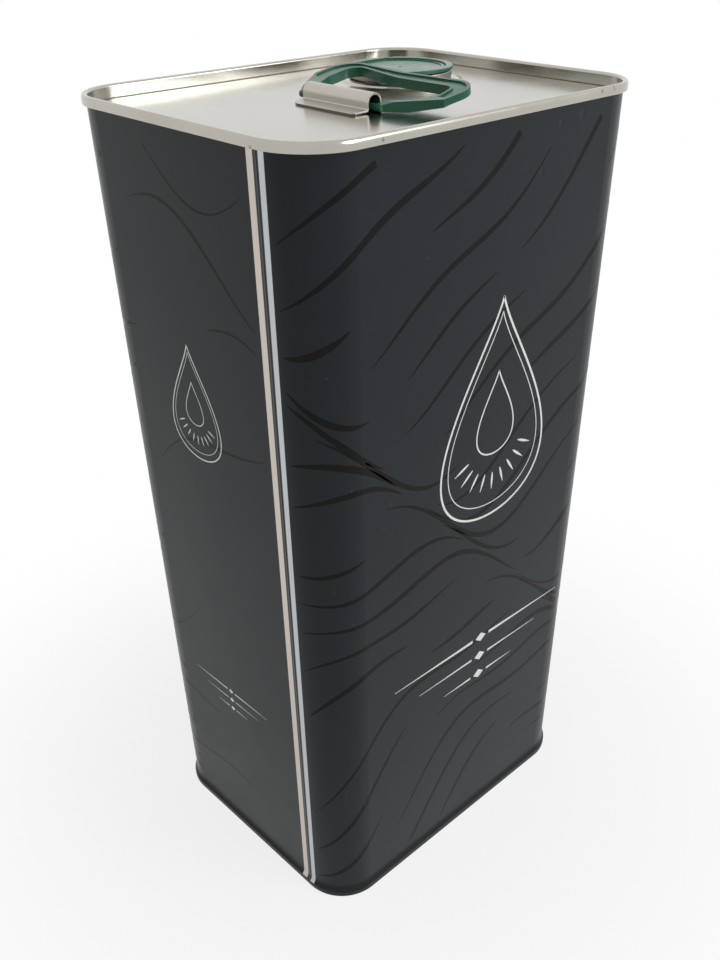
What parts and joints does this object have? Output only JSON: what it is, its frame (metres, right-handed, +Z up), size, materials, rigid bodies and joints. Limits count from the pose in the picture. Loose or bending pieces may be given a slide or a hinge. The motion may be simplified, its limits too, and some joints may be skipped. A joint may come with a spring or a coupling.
{
  "type": "oil tin",
  "caption": "Rounded rectangular steel oil tin with seamed ends, a hinged carrying handle on a welded clip and a pull-out pouring spout under a screw cap with a fold-flat lift ring.",
  "frame": {"origin": "middle of the base, on the plane the tin stands on", "axes": "+Z up; -Y out of the printed front; +X to the right when facing the front"},
  "size_m": [0.1514, 0.1194, 0.3083],
  "materials": {
    "lacquered_steel": "satin blue-black lacquer with glossy line work",
    "tinplate": "bare bright tinplate",
    "seam_compound": "dried sealing compound",
    "green_plastic": "moulded dark green",
    "natural_plastic": "milky uncoloured plastic",
    "liner_foam": "soft sealing disc"
  },
  "bodies": {
    "tin": {"body_shell": "lacquered_steel", "top_end": "tinplate", "bottom_end": "lacquered_steel", "top_seam_compound": "seam_compound", "bottom_seam_compound": "seam_compound", "handle_clip": "tinplate", "spout_collar": "tinplate", "spout_flange": "natural_plastic", "spout_fold": "natural_plastic"},
    "handle": {"handle": "green_plastic"},
    "spout": {"spout_nozzle": "natural_plastic"},
    "cap_carrier": {"cap_liner": "liner_foam"},
    "cap": {"cap": "green_plastic"},
    "lift_ring": {"lift_ring": "green_plastic"}
  },
  "joints": [
    {"name": "handle_swing", "type": "hinge", "parent": "tin", "child": "handle", "pos_m": [-0.0144, 0, 0.3024], "axis": [0, -1, 0], "range_deg": [0, 160]},
    {"name": "spout_pull", "type": "slide", "parent": "tin", "child": "spout", "axis": [0, 0, 1], "range_m": [0, 0.038], "deforming": ["spout_fold"]},
    {"name": "cap_lift", "type": "slide", "parent": "spout", "child": "cap_carrier", "axis": [0, 0, 1], "range_m": [0, 0.0045]},
    {"name": "cap_turn", "type": "hinge", "parent": "cap_carrier", "child": "cap", "pos_m": [0.0345, 0.017, 0.3034], "axis": [0, 0, 1], "range_deg": [0, 540]},
    {"name": "ring_raise", "type": "hinge", "parent": "cap", "child": "lift_ring", "pos_m": [0.034, 0.03122, 0.30588], "axis": [-0.9994, -0.0349, 0], "range_deg": [0, 100]}
  ],
  "couplings": [
    {"joint": "cap_lift", "follows": "cap_turn", "m_per_rad": 0.00047746}
  ]
}
